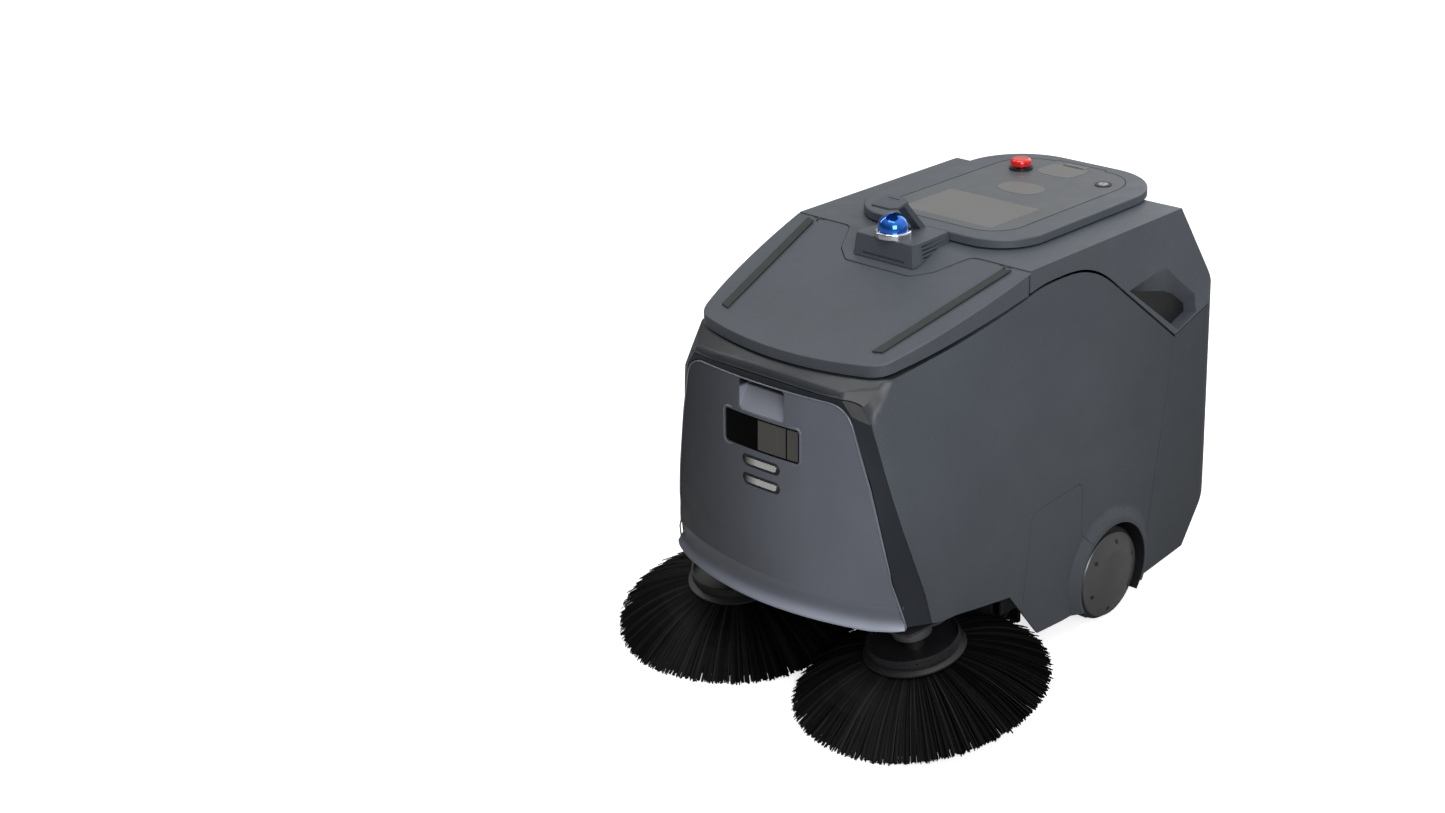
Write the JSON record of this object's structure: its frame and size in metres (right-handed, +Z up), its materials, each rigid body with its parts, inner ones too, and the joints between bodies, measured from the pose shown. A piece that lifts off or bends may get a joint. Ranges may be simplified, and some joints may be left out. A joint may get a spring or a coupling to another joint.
{
  "type": "robotic floor sweeper",
  "caption": "Self-driving floor sweeper with a front dust drawer, conical side brushes, a main roller, a sensor pod and a hinged control lid.",
  "frame": {"origin": "on the floor, midway between the drive wheels", "axes": "+Z up, the front of the machine faces -Y, its left side is +X"},
  "size_m": [0.8182, 0.9752, 0.803],
  "materials": {
    "side_plastic": "satin, faint grain",
    "top_plastic": "fine speckled texture",
    "front_plastic": "metallic blue-grey satin",
    "bumper_plastic": "metallic blue-grey satin",
    "facet_plastic": "dark satin",
    "dark_plastic": "matte black",
    "grip_rubber": "ribbed",
    "skirt_rubber": "matte",
    "tyre_rubber": "matte",
    "bristle": "nylon filament",
    "hub_metal": "gunmetal",
    "frame_steel": "black powder coat",
    "bare_steel": "machined",
    "chrome": "polished",
    "contact_metal": "brushed",
    "window_glass": "tinted gloss",
    "dome_glass": "blue coated dome",
    "screen_glass": "satin cover glass",
    "panel_plastic": "fine texture",
    "stop_red": "gloss red",
    "bin_plastic": "satin",
    "filter_paper": "pleated",
    "motor_metal": "cast",
    "belt_rubber": "matte",
    "battery_case": "matte"
  },
  "bodies": {
    "root": {"body_shell": "side_plastic", "service_covers": "side_plastic", "front_surround": "facet_plastic", "rear_shell": "side_plastic", "hand_pockets": "dark_plastic", "top_shell": "top_plastic", "sensor_pod": "side_plastic", "lidar_ring": "chrome", "lidar_dome": "dome_glass", "chassis_frame": "frame_steel", "frame_screws": "bare_steel", "wheel_brackets": "frame_steel", "brush_motors": "motor_metal", "drawer_rails": "bare_steel", "drive_belt": "belt_rubber", "roller_motor": "motor_metal", "roller_housing": "frame_steel", "dust_skirts": "skirt_rubber", "battery_pack": "battery_case", "control_box": "dark_plastic", "fan_housing": "dark_plastic"},
    "front_deck": {"front_deck_cover": "top_plastic", "deck_strips": "grip_rubber", "deck_hinge_pins": "frame_steel"},
    "lid": {"lid_frame": "top_plastic", "control_panel": "panel_plastic", "touch_screen": "screen_glass", "estop_base": "dark_plastic", "lock_barrel": "dark_plastic", "lid_hinge_pins": "frame_steel"},
    "estop": {"estop_button": "stop_red"},
    "key_lock": {"lock_cylinder": "bare_steel"},
    "drawer": {"door_panel": "front_plastic", "door_bumper": "bumper_plastic", "door_handle": "bumper_plastic", "camera_window": "window_glass", "camera_module": "dark_plastic", "contact_block": "dark_plastic", "charge_contacts": "contact_metal", "dust_bin": "bin_plastic", "bin_filter": "filter_paper"},
    "left_brush": {"left_brush_collar": "dark_plastic", "left_brush_bristles": "bristle"},
    "right_brush": {"right_brush_collar": "dark_plastic", "right_brush_bristles": "bristle"},
    "roller": {"roller_core": "dark_plastic", "roller_bristles": "bristle", "roller_pulley": "motor_metal"},
    "motor_shaft": {"motor_pulley": "motor_metal"},
    "fan": {"fan_impeller": "dark_plastic"},
    "left_wheel": {"left_tyre": "tyre_rubber", "left_wheel_hub": "motor_metal", "left_hub_cap": "hub_metal"},
    "right_wheel": {"right_tyre": "tyre_rubber", "right_wheel_hub": "motor_metal", "right_hub_cap": "hub_metal"},
    "front_caster": {"front_caster_fork": "bare_steel"},
    "front_caster_roll": {"front_caster_wheel": "tyre_rubber"},
    "rear_caster": {"rear_caster_fork": "bare_steel"},
    "rear_caster_roll": {"rear_caster_wheel": "tyre_rubber"}
  },
  "joints": [
    {"name": "drawer_slide", "type": "slide", "parent": "root", "child": "drawer", "axis": [0, -1, 0], "range_m": [0, 0.26]},
    {"name": "deck_hinge", "type": "hinge", "parent": "root", "child": "front_deck", "pos_m": [0, -0.242, 0.7165], "axis": [-1, 0, 0], "range_deg": [0, 45]},
    {"name": "lid_hinge", "type": "hinge", "parent": "root", "child": "lid", "pos_m": [0, 0.262, 0.72], "axis": [-1, 0, 0], "range_deg": [0, 60]},
    {"name": "estop_press", "type": "slide", "parent": "lid", "child": "estop", "axis": [0, 0.019, -0.9998], "range_m": [0, 0.004]},
    {"name": "key_turn", "type": "hinge", "parent": "lid", "child": "key_lock", "pos_m": [0.1, 0.172, 0.74527], "axis": [0, -0.019, 0.9998], "range_deg": [0, 90]},
    {"name": "left_brush_spin", "type": "hinge", "parent": "root", "child": "left_brush", "pos_m": [0.2138, -0.4551, 0.0209], "axis": [-0.0569, -0.1726, 0.9833], "continuous": true},
    {"name": "right_brush_spin", "type": "hinge", "parent": "root", "child": "right_brush", "pos_m": [-0.2138, -0.4551, 0.0209], "axis": [0.0569, -0.1726, 0.9833], "continuous": true},
    {"name": "roller_spin", "type": "hinge", "parent": "root", "child": "roller", "pos_m": [0, -0.125, 0.07], "axis": [1, 0, 0], "continuous": true},
    {"name": "motor_spin", "type": "hinge", "parent": "root", "child": "motor_shaft", "pos_m": [0, -0.125, 0.2], "axis": [1, 0, 0], "continuous": true},
    {"name": "fan_spin", "type": "hinge", "parent": "root", "child": "fan", "pos_m": [0, -0.12, 0.42], "axis": [0, 0, 1], "continuous": true},
    {"name": "left_wheel_spin", "type": "hinge", "parent": "root", "child": "left_wheel", "pos_m": [0.24, 0, 0.088], "axis": [1, 0, 0], "continuous": true},
    {"name": "right_wheel_spin", "type": "hinge", "parent": "root", "child": "right_wheel", "pos_m": [-0.24, 0, 0.088], "axis": [1, 0, 0], "continuous": true},
    {"name": "front_caster_swivel", "type": "hinge", "parent": "root", "child": "front_caster", "pos_m": [0, -0.262, 0.1], "axis": [0, 0, 1], "continuous": true},
    {"name": "front_caster_spin", "type": "hinge", "parent": "front_caster", "child": "front_caster_roll", "pos_m": [0, -0.244, 0.03], "axis": [1, 0, 0], "continuous": true},
    {"name": "rear_caster_swivel", "type": "hinge", "parent": "root", "child": "rear_caster", "pos_m": [0, 0.222, 0.1], "axis": [0, 0, 1], "continuous": true},
    {"name": "rear_caster_spin", "type": "hinge", "parent": "rear_caster", "child": "rear_caster_roll", "pos_m": [0, 0.24, 0.03], "axis": [1, 0, 0], "continuous": true}
  ],
  "couplings": [
    {"joint": "motor_spin", "follows": "roller_spin", "ratio": 1.6667}
  ]
}
